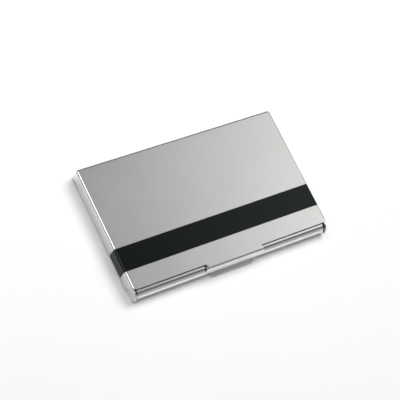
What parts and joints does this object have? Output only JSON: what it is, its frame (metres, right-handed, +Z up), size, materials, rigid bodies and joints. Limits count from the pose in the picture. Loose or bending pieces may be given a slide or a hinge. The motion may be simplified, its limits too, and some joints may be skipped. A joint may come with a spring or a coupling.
{
  "type": "business card case",
  "caption": "Slim hinged case for business cards: a shallow steel lid with a dark inlaid band, a tray with rolled hinge barrels, and a plate that tips up the cards.",
  "frame": {"origin": "middle of the underside of the closed case's bounding box", "axes": "+X along the hinge, +Y from the hinge to the free edge, +Z up out of the lid's top panel"},
  "size_m": [0.095, 0.0596, 0.0072],
  "materials": {
    "lid_steel": "satin",
    "band": "satin black",
    "adhesive": "translucent film",
    "tray_steel": "satin",
    "pin_steel": "drawn",
    "spring_steel": "rolled spring strip",
    "rivet_steel": "turned",
    "lifter_steel": "satin"
  },
  "bodies": {
    "tray": {"base_tray": "tray_steel", "hinge_pin": "pin_steel", "hold_spring": "spring_steel", "spring_rivets": "rivet_steel"},
    "lid": {"lid_shell": "lid_steel", "accent_band": "band", "band_adhesive": "adhesive"},
    "lifter": {"card_lifter": "lifter_steel"}
  },
  "joints": [
    {"name": "lid_hinge", "type": "hinge", "parent": "tray", "child": "lid", "pos_m": [0, -0.02565, 0.0032], "axis": [1, 0, 0], "range_deg": [0, 95]},
    {"name": "lifter_hinge", "type": "hinge", "parent": "tray", "child": "lifter", "pos_m": [0, -0.02565, 0.0032], "axis": [1, 0, 0], "range_deg": [0, 25]}
  ],
  "couplings": [
    {"joint": "lifter_hinge", "follows": "lid_hinge", "ratio": 0.25}
  ]
}
